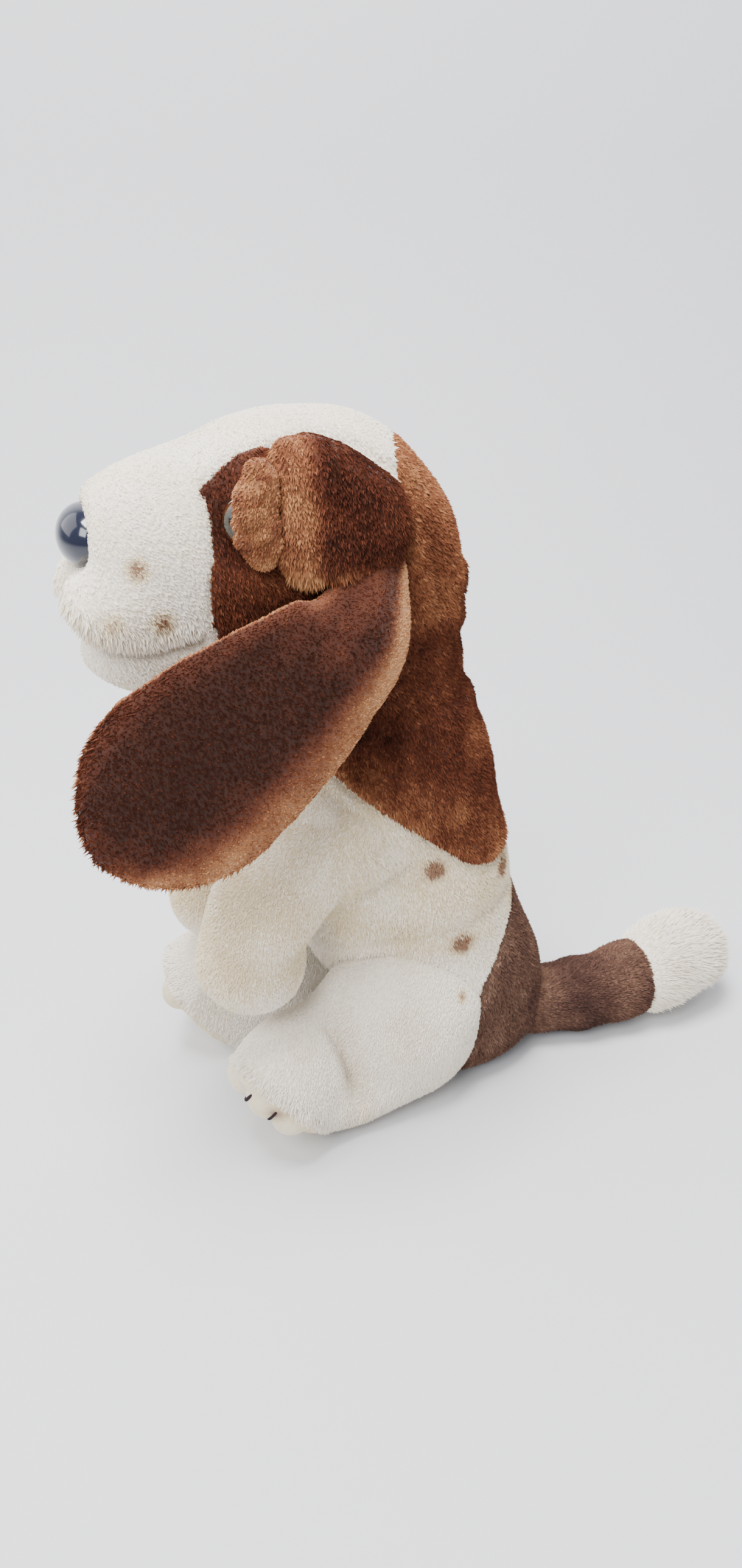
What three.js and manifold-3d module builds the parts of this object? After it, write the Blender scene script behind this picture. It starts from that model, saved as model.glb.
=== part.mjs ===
// Plush basset hound, sitting up: stuffed fabric panels, plastic eyes and nose, sewn-on ears, legs and tail.
// Millimetres, +Z up. The dog faces -Y and its left side is +X. Sizes are measured from the floor under the hips,
// and the whole dog is then moved so that the origin is under the middle of its length.
import * as THREE from "three";
import { mergeVertices } from "three/addons/utils/BufferGeometryUtils.js";
import Module from "manifold-3d";

const wasm = await Module();
wasm.setup();

// ---- driving dimensions ----
const WALL = 2.6; // plush fabric: backing and the dense root of the pile
const GAP = 0.35; // clearance between neighbouring pieces
const MIDDLE_Y = 29.2; // from the hips back to the middle of the dog's length
const NECK_Z = 198; // height of the neck's bend
const NECK_HALF_GAP = 4.2; // head and torso each stop this far from the bend
const NECK_Y = -2;
const HIP = { x: 18, y: 0, z: 37, r: 36 }; // disc where a thigh lies against the body
const HIP_POCKET = 40.5; // radius of the hollow that the thigh sits in
const SHOULDER = { x: 14, y: -20, z: 140, r: 21 }; // disc where a foreleg joins the body
const SHOULDER_POCKET = 22.6;
const EAR_THICK = 3.6; // one layer of an ear
const EYE_R = 8.5; // radius of the eye's dome
const NOSE = { y: -99, z: 239.5, wide: 14.5, tall: 10.6, deep: 9 };

const CREAM = 0xe6dfcb;
const BROWN = 0x6b3319;
const TAN = 0xa06a3c;
const BLACK = 0x141a2a;
const PINK = 0xcdb5a5;
const FILL = 0xf2f2ee;
const CLEAR = 0xd8dcd8;

// ---- solids ----

// A closed three.js geometry as a solid. side -1 mirrors it in X.
function solid(geometry, side = 1) {
  const bare = (geometry.index ? geometry.toNonIndexed() : geometry.clone()).scale(side, 1, 1);
  bare.deleteAttribute("normal");
  bare.deleteAttribute("uv");
  const merged = mergeVertices(bare, 1e-4);
  const triVerts = new Uint32Array(merged.index.array);
  if (side < 0) triVerts.reverse();
  const made = new wasm.Manifold(
    new wasm.Mesh({ numProp: 3, vertProperties: merged.attributes.position.array, triVerts }),
  );
  return made;
}

// Moves every vertex of a geometry as move(point) says.
function reshape(geometry, move) {
  const at = geometry.attributes.position;
  const p = new THREE.Vector3();
  for (let i = 0; i < at.count; i++) {
    move(p.fromBufferAttribute(at, i));
    at.setXYZ(i, p.x, p.y, p.z);
  }
  return geometry;
}

// An ellipsoid, squarer as power rises above 2. shrink takes that much off every radius.
function blob(at, radii, { power = 2, turn = [0, 0, 0], shrink = 0, sides = 14, rows = 8, side = 1 } = {}) {
  const round = reshape(new THREE.SphereGeometry(1, sides, rows).rotateX(Math.PI / 2), (p) => {
    const size = (Math.abs(p.x) ** power + Math.abs(p.y) ** power + Math.abs(p.z) ** power) ** (1 / power);
    p.divideScalar(size);
  });
  round.scale(radii[0] - shrink, radii[1] - shrink, radii[2] - shrink);
  round.applyMatrix4(new THREE.Matrix4().makeRotationFromEuler(new THREE.Euler(...turn)));
  return solid(round.translate(...at), side);
}

// A stack of ellipses up the Z axis. A station is [z, middle y, half width, half depth].
function stack(stations, { grow = 0, from, to, sides = 20, rows = 9 } = {}) {
  const along = new THREE.CatmullRomCurve3(stations.map(([z, y, a]) => new THREE.Vector3(z, y, a)));
  const depth = new THREE.CatmullRomCurve3(stations.map(([z, , , b]) => new THREE.Vector3(z, b, 0)));
  const tube = reshape(new THREE.CylinderGeometry(1, 1, 1, sides, rows).rotateX(Math.PI / 2), (p) => {
    const t = THREE.MathUtils.clamp(p.z + 0.5, 0, 1);
    const { x: z, y: middle, z: half } = along.getPoint(t);
    const deep = depth.getPoint(t).y;
    p.set(p.x * (half + grow), middle + p.y * (deep + grow), THREE.MathUtils.clamp(z, from ?? z, to ?? z));
  });
  return solid(tube);
}

// A rounded limb along a smooth path. radiusAt(t) is its radius from 0 at the path's start to 1 at its end.
function limb(path, radiusAt, { shrink = 0, sides = 12, rows = 9, side = 1 } = {}) {
  const curve = new THREE.CatmullRomCurve3(path.map((p) => new THREE.Vector3(...p)));
  const up = new THREE.Vector3(1, 0, 0);
  const tube = reshape(new THREE.CylinderGeometry(1, 1, 1, sides, rows).rotateX(Math.PI / 2), (p) => {
    const t = 0.5 - 0.5 * Math.cos(Math.PI * THREE.MathUtils.clamp(p.z + 0.5, 0, 1));
    const along = curve.getTangentAt(t);
    const across = new THREE.Vector3().crossVectors(up, along).normalize();
    const other = new THREE.Vector3().crossVectors(along, across);
    const inner = shrink / curve.getLength();
    const centre = curve.getPointAt(THREE.MathUtils.clamp(t, inner, 1 - inner));
    const r = Math.max(radiusAt(t) - shrink, 0.3);
    const { x, y } = p;
    p.copy(centre).addScaledVector(across, x * r).addScaledVector(other, y * r);
  });
  return solid(tube, side);
}

// A disc or dome turned about the X axis, from profile points [x, radius].
function turned(profile, y, z, { side = 1, sides = 20 } = {}) {
  const points = profile.map(([x, r]) => new THREE.Vector2(r, x));
  return solid(new THREE.LatheGeometry(points, sides).rotateZ(-Math.PI / 2).translate(0, y, z), side);
}

function slab(x0, x1, y0, y1, z0, z1, side = 1) {
  const box = new THREE.BoxGeometry(x1 - x0, y1 - y0, z1 - z0);
  return solid(box.translate((x0 + x1) / 2, (y0 + y1) / 2, (z0 + z1) / 2), side);
}

// A thin upright sheet through a smooth line, which parts two panels along their seam.
function ribbon(line, steps) {
  const curve = new THREE.SplineCurve(line.map((p) => new THREE.Vector2(...p)));
  const points = curve.getPoints(steps);
  const edge = (sign) =>
    points.map((p, i) => {
      const along = curve.getTangent(i / steps);
      return new THREE.Vector2(p.x - (sign * along.y * GAP) / 2, p.y + (sign * along.x * GAP) / 2);
    });
  return new THREE.Shape([...edge(1), ...edge(-1).reverse()]);
}

// A seam drawn from the side as [y, z] points, cutting from x0 to x1.
function sideSeam(line, x0, x1, steps = 8) {
  const cut = new THREE.ExtrudeGeometry(ribbon(line, steps), { depth: x1 - x0, bevelEnabled: false });
  const toSide = new THREE.Matrix4().makeBasis(
    new THREE.Vector3(0, 1, 0),
    new THREE.Vector3(0, 0, 1),
    new THREE.Vector3(1, 0, 0),
  );
  return solid(cut.applyMatrix4(toSide).translate(x0, 0, 0));
}

// A seam drawn from above as [x, y] points, cutting from z0 to z1.
function topSeam(line, z0, z1, steps = 4) {
  const cut = new THREE.ExtrudeGeometry(ribbon(line, steps), { depth: z1 - z0, bevelEnabled: false });
  return solid(cut.translate(0, 0, z0));
}

const join = (...solids) => solids.reduce((all, s) => all.add(s));
const cut = (from, ...tools) => tools.reduce((left, s) => left.subtract(s), from);

// The separate pieces that a cut solid falls into, largest first, each as its own vertices and triangles.
function pieces(made) {
  const { vertProperties, triVerts, numProp } = made.getMesh();
  const leader = Array.from({ length: vertProperties.length / numProp }, (_, i) => i);
  const find = (i) => {
    while (leader[i] !== i) i = leader[i] = leader[leader[i]];
    return i;
  };
  for (let t = 0; t < triVerts.length; t += 3) {
    leader[find(triVerts[t])] = find(triVerts[t + 1]);
    leader[find(triVerts[t + 1])] = find(triVerts[t + 2]);
  }
  const found = new Map();
  for (let t = 0; t < triVerts.length; t += 3) {
    const key = find(triVerts[t]);
    if (!found.has(key)) found.set(key, { index: [], at: [], numbers: new Map() });
    const piece = found.get(key);
    for (const v of triVerts.subarray(t, t + 3)) {
      if (!piece.numbers.has(v)) {
        piece.numbers.set(v, piece.at.length / 3);
        piece.at.push(...vertProperties.subarray(v * numProp, v * numProp + 3));
      }
      piece.index.push(piece.numbers.get(v));
    }
  }
  const sized = [...found.values()].map(({ index, at }) => {
    const box = new THREE.Box3().setFromArray(at);
    const size = box.getSize(new THREE.Vector3());
    return { index, at, middle: box.getCenter(new THREE.Vector3()), size: size.length() };
  });
  return sized.sort((a, b) => b.size - a.size);
}

// Cuts one piece again, and gives the pieces that it falls into.
function split(piece, ...tools) {
  const vertProperties = new Float32Array(piece.at);
  const whole = new wasm.Manifold(
    new wasm.Mesh({ numProp: 3, vertProperties, triVerts: new Uint32Array(piece.index) }),
  );
  return pieces(cut(whole, ...tools));
}

// Takes out of a list the piece whose middle scores highest.
function take(from, score) {
  const best = from.reduce((a, b) => (score(b.middle) > score(a.middle) ? b : a));
  from.splice(from.indexOf(best), 1);
  return best;
}

const dog = new THREE.Group();

function add(name, piece, colour, roughness = 0.95, metalness = 0) {
  const geometry = new THREE.BufferGeometry()
    .setAttribute("position", new THREE.BufferAttribute(new Float32Array(piece.at), 3))
    .setIndex(piece.index);
  geometry.computeVertexNormals();
  const mesh = new THREE.Mesh(geometry, new THREE.MeshStandardMaterial({ color: colour, roughness, metalness }));
  mesh.name = name;
  dog.add(mesh);
}

const SIDES = [
  { name: "left", side: 1 },
  { name: "right", side: -1 },
];

// ---- torso ----
const TORSO = [
  [0, 32, 20, 32],
  [7, 32, 29, 41],
  [22, 32, 35, 45.5],
  [45, 29, 37.5, 45.5],
  [70, 23, 38, 42.5],
  [95, 17, 38, 40],
  [120, 12, 38.5, 39.5],
  [145, 7.5, 38.5, 38],
  [168, 3, 36, 35.5],
  [188, -1, 33, 32],
  [205, -3, 32, 31],
];

function torsoSolid(grow, sides = 20) {
  const room = Math.max(-grow, 0);
  const body = stack(TORSO, { grow, from: room, to: 205, sides });
  const pockets = SIDES.flatMap(({ side }) => [
    turned([[HIP.x - room, 0], [HIP.x - room, HIP_POCKET + room], [60, HIP_POCKET + room], [60, 0]], HIP.y, HIP.z, {
      side,
    }),
    turned(
      [[SHOULDER.x - room, 0], [SHOULDER.x - room, SHOULDER_POCKET + room], [60, SHOULDER_POCKET + room], [60, 0]],
      SHOULDER.y,
      SHOULDER.z,
      { side },
    ),
  ]);
  return cut(body, ...pockets);
}

const aboveTorso = slab(-80, 80, -80, 80, NECK_Z - NECK_HALF_GAP, 260);
const neckSpace = blob([0, NECK_Y, NECK_Z], [23.4, 23.4, 23.4], { sides: 18, rows: 11 });
const CAPE_EDGE = [[-60, 184], [-36, 165], [-8, 141], [18, 119], [38, 108], [58, 105.5], [80, 106]];
const RUMP_EDGE = [[90, 96], [56, 90.5], [41, 72], [31, 55], [29.5, 34], [24, 14], [14, -8]];

function makeTorso() {
  const shell = cut(
    torsoSolid(0),
    torsoSolid(-WALL),
    stack([[188, -1, 28, 27], [230, -3, 28, 27]], { rows: 2 }),
    aboveTorso,
    sideSeam(CAPE_EDGE, -70, 70),
    sideSeam(RUMP_EDGE, -70, 70),
  );
  const found = pieces(shell).slice(0, 3);
  add("cape_panel", take(found, (m) => m.z), BROWN);
  add("rump_panel", take(found, (m) => m.y), BROWN);
  const halves = split(found[0], slab(-GAP / 2, GAP / 2, -90, 90, -1, 200));
  add("left_side_panel", take(halves, (m) => m.x), CREAM);
  add("right_side_panel", take(halves, (m) => -m.x), CREAM);
  const filling = cut(torsoSolid(-WALL - GAP, 10), aboveTorso, neckSpace);
  add("torso_stuffing", pieces(filling)[0], FILL);
  add("neck_stuffing", pieces(blob([0, NECK_Y, NECK_Z], [22.2, 22.2, 22.2], { sides: 18, rows: 11 }))[0], FILL);
}

// ---- head ----
// Stations along the head from the lips back to the nape: [y, middle height, half width, half height].
const HEAD = [
  [-106, 230.5, 14, 13],
  [-102, 228, 21.5, 24],
  [-93, 226, 27.5, 33],
  [-78, 227, 31, 37],
  [-64, 230.5, 32, 38.5],
  [-48, 235, 38.5, 39.5],
  [-20, 237.5, 41, 39],
  [0, 233, 40, 37],
  [14, 227, 35, 32.5],
  [24, 221, 28, 28],
  [31, 216, 16, 17],
];

function headSolid(shrink, sides = 20) {
  const across = new THREE.CatmullRomCurve3(HEAD.map(([y, z, a]) => new THREE.Vector3(y, z, a)));
  const height = new THREE.SplineCurve(HEAD.map(([y, , , b]) => new THREE.Vector2(y, b)));
  const loft = reshape(new THREE.CylinderGeometry(1, 1, 1, sides, 11).rotateX(Math.PI / 2), (p) => {
    const t = THREE.MathUtils.clamp(p.z + 0.5, 0, 1);
    const { x: y, y: middle, z: half } = across.getPoint(t);
    const tall = height.getPoint(t).y;
    const size = Math.hypot(p.x, p.y) < 0.5 ? 1 : (Math.abs(p.x) ** 2.4 + Math.abs(p.y) ** 2.4) ** (1 / 2.4);
    const ends = THREE.MathUtils.clamp(y, -106 + shrink, 31 - shrink);
    p.set((p.x / size) * (half - shrink), ends, middle - (p.y / size) * (tall - shrink));
  });
  return solid(loft);
}

const underHead = slab(-60, 60, -40, 60, 150, NECK_Z + NECK_HALF_GAP);
const MUZZLE_EDGE = [[-66, 290], [-62.5, 272], [-65, 255], [-68, 240], [-67, 225], [-63, 212], [-62, 204]];
const NAPE_EDGE = [[6, 290], [3, 272], [-5, 257], [-8, 240], [-8, 190]];
const LIP_EDGE = [[-125, 209], [-104, 206.5], [-84, 206], [-70, 208.5], [-58, 212], [-47, 208], [-42, 198], [-41, 185]];
const STRIPE = 21; // half the width of the white stripe over the forehead

function eyeAxis() {
  return new THREE.Vector3(0.8, -0.59, 0.1).normalize();
}

// A turned piece whose axis points along the eye, from profile points [distance, radius].
function onEyeAxis(profile, side) {
  const geometry = new THREE.LatheGeometry(profile.map(([d, r]) => new THREE.Vector2(r, d)), 14);
  const turn = new THREE.Quaternion().setFromUnitVectors(new THREE.Vector3(0, 1, 0), eyeAxis());
  return solid(geometry.applyQuaternion(turn).translate(33, -59.5, 248.5), side);
}

const eyeProfile = (grow) => [
  [-12 - grow, 0],
  [-12 - grow, 2 + grow],
  [-0.5 - grow, 2 + grow],
  [-0.5 - grow, EYE_R + grow],
  [1.2, EYE_R + grow],
  ...[0.3, 0.6, 0.9, 1.2].map((a) => [1.2 + 5 * Math.sin(a), (EYE_R + grow) * Math.cos(a)]),
  [6.3 + grow, 0],
];
const washerProfile = (grow) => [
  [-10 - grow, 2.4 - grow],
  [-10 - grow, 5 + grow],
  [-8.4 + grow, 5 + grow],
  [-8.4 + grow, 2.4 - grow],
  [-10 - grow, 2.4 - grow],
];

// A turned piece on the nose's axis, from profile points [distance forward, radius].
function onNoseAxis(profile, flat = 1) {
  const geometry = new THREE.LatheGeometry(profile.map(([d, r]) => new THREE.Vector2(r, d)), 16);
  return solid(geometry.rotateX(Math.PI).scale(1, 1, flat).translate(0, NOSE.y, NOSE.z));
}

function noseSolid(grow) {
  const dome = [[-1 - grow, 0], [-1 - grow, NOSE.wide + grow - 1.5], [0.6, NOSE.wide + grow]];
  const cap = [0.4, 0.85, 1.25].map((a) => [
    0.6 + NOSE.deep * Math.sin(a),
    (NOSE.wide + grow) * Math.cos(a),
  ]);
  const oval = onNoseAxis([...dome, ...cap, [0.6 + NOSE.deep + grow, 0]], 0.76);
  return join(oval, onNoseAxis([[-13 - grow, 0], [-13 - grow, 2.5 + grow], [0, 2.5 + grow], [0, 0]]));
}

const noseWasher = (grow) =>
  onNoseAxis([[-11 - grow, 2.7 - grow], [-11 - grow, 9 + grow], [-9 + grow, 9 + grow], [-9 + grow, 2.7 - grow], [-11 - grow, 2.7 - grow]]);

// The heavy lid, a stuffed half disc that hangs over the outside of the eye.
function eyelid(side, grow = 0) {
  const disc = blob([38, -47, 250], [7.5, 14.5, 18.5], { shrink: -grow, power: 2.3, sides: 14, rows: 8, side });
  return disc.intersect(slab(20, 60, -80, -47 + grow, 200, 290, side));
}

// The pleated root of the ear, folded over on itself against the side of the head.
function earFold(side, grow = 0) {
  const pad = blob([38.5, -28, 248.5], [8.5, 19.5, 17.5], {
    shrink: -grow,
    power: 3,
    turn: [0.12, -0.16, 0],
    sides: 16,
    rows: 8,
    side,
  });
  return pad.intersect(slab(20, 60, -47 + GAP - grow, 0, 200, 290, side));
}

function makeHead() {
  const sockets = SIDES.flatMap(({ side }) => [onEyeAxis(eyeProfile(GAP), side), eyelid(side, GAP), earFold(side, GAP)]);
  const shell = cut(
    headSolid(0),
    headSolid(WALL),
    underHead,
    neckSpace,
    sideSeam(MUZZLE_EDGE, STRIPE, 70),
    sideSeam(MUZZLE_EDGE, -70, -STRIPE),
    sideSeam(NAPE_EDGE, -70, 70),
    sideSeam(LIP_EDGE, -70, 70),
    topSeam([[STRIPE, -70], [STRIPE + 1, -40], [STRIPE + 3, -10], [STRIPE + 5, 10]], 236, 300),
    topSeam([[-STRIPE, -70], [-STRIPE - 1, -40], [-STRIPE - 3, -10], [-STRIPE - 5, 10]], 236, 300),
    noseSolid(GAP),
    ...sockets,
  );
  const found = pieces(shell).slice(0, 4);
  add("nape_panel", take(found, (m) => m.y), BROWN);
  add("chin_panel", take(found, (m) => -m.z), CREAM);
  add("muzzle_blaze_panel", take(found, (m) => -m.y), CREAM);
  const faces = split(found[0], slab(-GAP / 2, GAP / 2, -90, 30, 150, 290));
  add("left_face_panel", take(faces, (m) => m.x), BROWN);
  add("right_face_panel", take(faces, (m) => -m.x), BROWN);
  add("nose_button", pieces(noseSolid(0))[0], BLACK, 0.15);
  add("nose_washer", pieces(noseWasher(0))[0], CLEAR, 0.5);
  const hard = [noseSolid(GAP), noseWasher(GAP), neckSpace];
  for (const { name, side } of SIDES) {
    add(`${name}_eye`, pieces(onEyeAxis(eyeProfile(0), side))[0], BLACK, 0.1);
    add(`${name}_eye_washer`, pieces(onEyeAxis(washerProfile(0), side))[0], CLEAR, 0.5);
    add(`${name}_eyelid`, pieces(cut(eyelid(side), onEyeAxis(eyeProfile(GAP), side)))[0], TAN);
    add(`${name}_ear_fold`, pieces(earFold(side))[0], BROWN);
    hard.push(onEyeAxis(eyeProfile(GAP), side), onEyeAxis(washerProfile(GAP), side));
    hard.push(slab(29.2, 60, -63, -6, 226, 273, side));
  }
  add("head_stuffing", pieces(cut(headSolid(WALL + GAP, 10), underHead, ...hard))[0], FILL);
}

// ---- ears ----
const EAR_PATH = [[50, -8, 234], [52.5, -25, 217], [55, -45, 203], [56.5, -67, 188.5], [56, -89, 174], [53, -108, 162]];
const EAR_WIDTHS = [9, 15, 23, 28.5, 30, 27]; // half widths along the ear, before its round end
const EAR_HANG = { "1": 0, "-1": 0.42 }; // how much straighter each ear hangs, in radians about its root

// One layer of an ear: a strip of cloth along the ear's path, out from its middle by offset.
function earLayer(side, offset) {
  const root = new THREE.Vector3(...EAR_PATH[0]);
  const hung = (p) => new THREE.Vector3(...p).sub(root).applyAxisAngle(new THREE.Vector3(1, 0, 0), EAR_HANG[side]).add(root);
  const curve = new THREE.CatmullRomCurve3(EAR_PATH.map(hung));
  const widths = new THREE.SplineCurve(EAR_WIDTHS.map((w, i) => new THREE.Vector2(i, w)));
  const strip = reshape(new THREE.BoxGeometry(1, 1, 1, 1, 10, 4), (p) => {
    const t = p.y + 0.5;
    const s = 2 * p.z;
    const along = curve.getTangentAt(t);
    const out = new THREE.Vector3(1, 0, 0).addScaledVector(along, -along.x).normalize();
    const across = new THREE.Vector3().crossVectors(out, along);
    const tip = Math.sqrt(Math.max(1 - Math.max((t - 0.72) / 0.285, 0) ** 2, 0));
    const half = widths.getPoint(t).y * tip;
    const cup = -0.0045 * (s * half) ** 2;
    const thin = 0.3 + 0.7 * Math.sqrt(Math.max(1 - (0.96 * s) ** 4, 0));
    const depth = offset + Math.sign(p.x) * (EAR_THICK / 2) * (Math.sign(p.x) === Math.sign(offset) ? thin : 1);
    p.copy(curve.getPointAt(t)).addScaledVector(across, s * half).addScaledVector(out, depth + cup);
  });
  return solid(strip, side);
}

function makeEars() {
  for (const { name, side } of SIDES) {
    const middle = (EAR_THICK + GAP) / 2;
    add(`${name}_ear_outer`, pieces(earLayer(side, middle))[0], BROWN);
    add(`${name}_ear_lining`, pieces(earLayer(side, -middle))[0], TAN);
  }
}

// ---- forelegs ----
function forelegSolid(side, shrink) {
  const arm = limb(
    [[29, -20, 141], [27, -33, 122], [24.5, -48, 100], [23.5, -59, 77], [23, -63, 60]],
    (t) => (18.5 + 4.5 * t ** 2) * Math.max(1 - (2 * t - 1) ** 6, 0) ** 0.5,
    { shrink, side },
  );
  const shoulder = turned(
    [
      [SHOULDER.x + GAP, 0],
      [SHOULDER.x + GAP, SHOULDER.r - shrink],
      [38 - shrink, SHOULDER.r - shrink],
      [43 - shrink, 15 - shrink],
      [45 - shrink, 0],
    ],
    SHOULDER.y,
    SHOULDER.z,
    { side },
  );
  return join(arm, shoulder);
}

// What a foreleg is kept clear of: the body, but for the round hollow at the shoulder.
function bodyBesideShoulder(side) {
  const hollow = turned(
    [[SHOULDER.x + GAP, 0], [SHOULDER.x + GAP, SHOULDER.r + 0.4], [60, SHOULDER.r + 0.4], [60, 0]],
    SHOULDER.y,
    SHOULDER.z,
    { side },
  );
  return cut(stack(TORSO, { grow: GAP }), hollow);
}

function makeForelegs() {
  for (const { name, side } of SIDES) {
    const around = [bodyBesideShoulder(side), slab(-30, 0.25, -150, 50, 0, 200, side)];
    const mouth = turned([[SHOULDER.x - 1, 0], [SHOULDER.x - 1, 14], [22, 14], [22, 0]], SHOULDER.y, SHOULDER.z, { side });
    const cover = cut(forelegSolid(side, 0), forelegSolid(side, WALL).subtract(slab(0, 0.25 + WALL, -150, 50, 0, 200, side)), ...around, mouth);
    add(`${name}_foreleg_cover`, pieces(cover)[0], CREAM);
    const grown = cut(forelegSolid(side, WALL + GAP), ...around, slab(0, 0.6 + WALL, -150, 50, 0, 200, side));
    add(`${name}_foreleg_stuffing`, pieces(grown)[0], FILL);
  }
}

// ---- hind legs ----
const FOOT_TURN = 0.5; // how far the feet point outwards, in radians
const FOOT = { x: 34, y: -46, z: 27.5 };
const FOOT_AHEAD = { "1": 0, "-1": 9 }; // how much further forward each foot is

function hindLegSolid(side, shrink) {
  const rim = HIP.r - shrink;
  const dome = [0, 0.45, 0.9, 1.25].map((a) => [30 + (17 - shrink) * Math.sin(a), rim * Math.cos(a)]);
  const thigh = turned([[HIP.x + GAP, 0], [HIP.x + GAP, rim], ...dome, [47 - shrink, 0]], HIP.y, HIP.z, { side });
  const foot = blob([FOOT.x, FOOT.y - FOOT_AHEAD[side], FOOT.z], [22.5, 30, 28.5], {
    shrink,
    power: 2.3,
    turn: [-0.22, 0, FOOT_TURN],
    sides: 16,
    rows: 9,
    side,
  });
  return join(thigh, foot);
}

// The plane that parts the sole's pad from the foot: everything further out along the foot is the pad.
function soleSide(side, back, front) {
  const box = new THREE.BoxGeometry(90, front - back, 100).translate(0, -(front + back) / 2, 0);
  box.applyMatrix4(new THREE.Matrix4().makeRotationFromEuler(new THREE.Euler(-0.42, 0, FOOT_TURN, "ZYX")));
  return solid(box.translate(FOOT.x, FOOT.y - FOOT_AHEAD[side], FOOT.z), side);
}

const SOLE_AT = 21;
const below = slab(-150, 150, -150, 250, -60, 0);
const belowFabric = slab(-150, 150, -150, 250, -60, WALL);
const belowStuffing = slab(-150, 150, -150, 250, -60, WALL + GAP);

function makeHindLegs() {
  for (const { name, side } of SIDES) {
    const around = [
      cut(stack(TORSO, { grow: GAP }), turned([[HIP.x + GAP / 2, 0], [HIP.x + GAP / 2, HIP_POCKET - 1], [70, HIP_POCKET - 1], [70, 0]], HIP.y, HIP.z, { side })),
      slab(-30, 1, -150, 60, 0, 100, side),
    ];
    const mouth = turned([[HIP.x - 1, 0], [HIP.x - 1, 24], [26, 24], [26, 0]], HIP.y, HIP.z, { side });
    const inside = cut(hindLegSolid(side, WALL), belowFabric);
    const shell = cut(hindLegSolid(side, 0), inside, ...around, mouth, below);
    const pad = shell.intersect(soleSide(side, SOLE_AT + GAP, 80));
    const rest = shell.subtract(soleSide(side, SOLE_AT, 80));
    add(`${name}_sole_pad`, pieces(pad)[0], PINK);
    add(`${name}_hind_leg_cover`, pieces(rest)[0], CREAM);
    const filling = cut(hindLegSolid(side, WALL + GAP), ...around, belowStuffing);
    add(`${name}_hind_leg_stuffing`, pieces(filling)[0], FILL);
  }
}

// ---- tail ----
const TAIL_PATH = [[8, 56, 20], [11, 78, 18], [15, 102, 19], [15, 128, 23], [12, 152, 27], [10, 167, 29]];
const tailRadius = (t) => (16.5 + 3.6 * Math.sin(Math.PI * Math.min(t * 1.15, 1) * 0.62)) * Math.sqrt(Math.max(1 - t ** 9, 0));

function makeTail() {
  const rump = stack(TORSO, { grow: GAP });
  const outer = limb(TAIL_PATH, tailRadius, { sides: 14, rows: 10 });
  const inner = cut(limb(TAIL_PATH, tailRadius, { shrink: WALL, sides: 14, rows: 10 }), belowFabric);
  const shell = cut(outer, inner, rump, below);
  const band = (grow) => slab(-60, 60, 124 - grow, 220, -10, 90);
  add("tail_cover", pieces(shell.subtract(band(GAP)))[0], BROWN);
  add("tail_tip_cover", pieces(shell.intersect(band(0)))[0], CREAM);
  const filling = cut(limb(TAIL_PATH, tailRadius, { shrink: WALL + GAP, sides: 14, rows: 10 }), rump, belowStuffing);
  add("tail_stuffing", pieces(filling)[0], FILL);
}

dog.position.y = -MIDDLE_Y;
makeTorso();
makeHead();
makeEars();
makeForelegs();
makeHindLegs();
makeTail();

export default dog;
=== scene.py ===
"""A sitting plush hound: stuffed velvety panels with a short dense pile, long ears, plastic eyes and nose.

Shapes are worked out in millimetres with Y counted from the hips; placed() moves them into the frame, in metres.
"""

import math
from itertools import product

import bpy
import numpy as np
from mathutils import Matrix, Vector


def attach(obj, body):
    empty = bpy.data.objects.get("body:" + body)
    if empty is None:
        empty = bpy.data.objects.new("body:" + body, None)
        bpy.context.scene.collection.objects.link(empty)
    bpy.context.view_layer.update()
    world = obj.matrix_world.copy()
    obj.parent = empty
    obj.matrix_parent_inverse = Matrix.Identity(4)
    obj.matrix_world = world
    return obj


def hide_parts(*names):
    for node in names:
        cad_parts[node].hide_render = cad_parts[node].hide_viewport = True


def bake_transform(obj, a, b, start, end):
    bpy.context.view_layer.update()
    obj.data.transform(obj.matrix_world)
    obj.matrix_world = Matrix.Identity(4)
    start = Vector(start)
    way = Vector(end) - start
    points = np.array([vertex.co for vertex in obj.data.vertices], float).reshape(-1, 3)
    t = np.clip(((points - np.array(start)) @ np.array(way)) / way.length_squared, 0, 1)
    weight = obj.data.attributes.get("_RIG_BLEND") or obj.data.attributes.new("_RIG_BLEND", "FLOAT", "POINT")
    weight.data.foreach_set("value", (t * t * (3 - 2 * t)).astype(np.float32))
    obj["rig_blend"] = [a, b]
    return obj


HIPS_TO_MIDDLE = 29.2
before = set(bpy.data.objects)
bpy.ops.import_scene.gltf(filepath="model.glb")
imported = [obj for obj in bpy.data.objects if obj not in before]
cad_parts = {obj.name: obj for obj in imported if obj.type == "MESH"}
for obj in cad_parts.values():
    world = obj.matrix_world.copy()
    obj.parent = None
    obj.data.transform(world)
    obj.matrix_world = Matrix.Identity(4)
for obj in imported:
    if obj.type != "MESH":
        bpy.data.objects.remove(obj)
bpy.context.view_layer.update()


def placed(points):
    """Millimetres from the hips to metres in the frame."""
    return (np.asarray(points, float) - (0, HIPS_TO_MIDDLE, 0)) / 1000


def spot(x, y, z):
    return tuple(placed((x, y, z)))


# ---------------------------------------------------------------- soft shapes


def smooth(low, high, value):
    t = np.clip((value - low) / (high - low), 0, 1)
    return t * t * (3 - 2 * t)


def bump(value, width):
    return np.exp(-((value / width) ** 2))


def merged(a, b, soft):
    """The union of two shapes, filled in where they meet."""
    h = np.clip(0.5 + 0.5 * (b - a) / soft, 0, 1)
    return b * (1 - h) + a * h - soft * h * (1 - h)


def carved(a, b, soft):
    """Shape a with shape b taken away, softly."""
    return -merged(-a, b, soft)


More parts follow.
